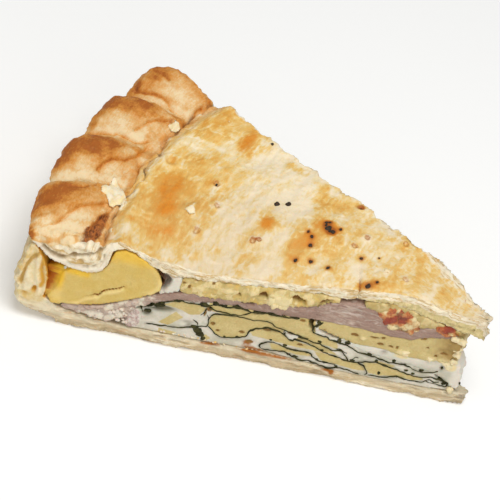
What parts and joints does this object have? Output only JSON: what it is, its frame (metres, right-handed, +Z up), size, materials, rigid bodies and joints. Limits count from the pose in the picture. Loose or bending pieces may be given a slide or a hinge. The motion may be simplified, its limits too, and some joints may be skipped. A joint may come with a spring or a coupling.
{
  "type": "bacon and egg pie slice",
  "caption": "Wedge cut from a round savoury pie: flaky golden lid with a rope-folded rim over a cut egg yolk, bacon, egg and green leaves on a pastry base.",
  "frame": {"origin": "on the floor plane, under the middle of the slice's box", "axes": "+X from the rim towards the tip, +Y from the shown cut towards the other cut, +Z up"},
  "size_m": [0.1382, 0.0964, 0.0408],
  "materials": {
    "base_pastry": "pale baked pastry, dry and layered",
    "lid_pastry": "glazed golden pastry with browner folds and pale flaky edges",
    "yolk": "matte firm yolk",
    "egg_white": "smooth, slightly moist white",
    "bacon": "moist cooked bacon",
    "crisp_bacon": "browned bacon edge",
    "egg": "set egg, pale yellow and finely pored",
    "leaf": "dark cooked leaf"
  },
  "bodies": {
    "root": {"base_crust": "base_pastry", "lid_crust": "lid_pastry", "yolk": "yolk", "egg_white": "egg_white", "bacon": "bacon", "bacon_crisp_1": "crisp_bacon", "bacon_crisp_2": "crisp_bacon", "top_egg": "egg", "crumb_egg": "egg", "upper_egg": "egg", "white_band": "egg_white", "leafy_egg": "egg", "leaf_1": "leaf", "leaf_2": "leaf", "leaf_3": "leaf", "leaf_4": "leaf", "leaf_5": "leaf", "leaf_6": "leaf", "leaf_7": "leaf", "leaf_8": "leaf"}
  },
  "joints": []
}
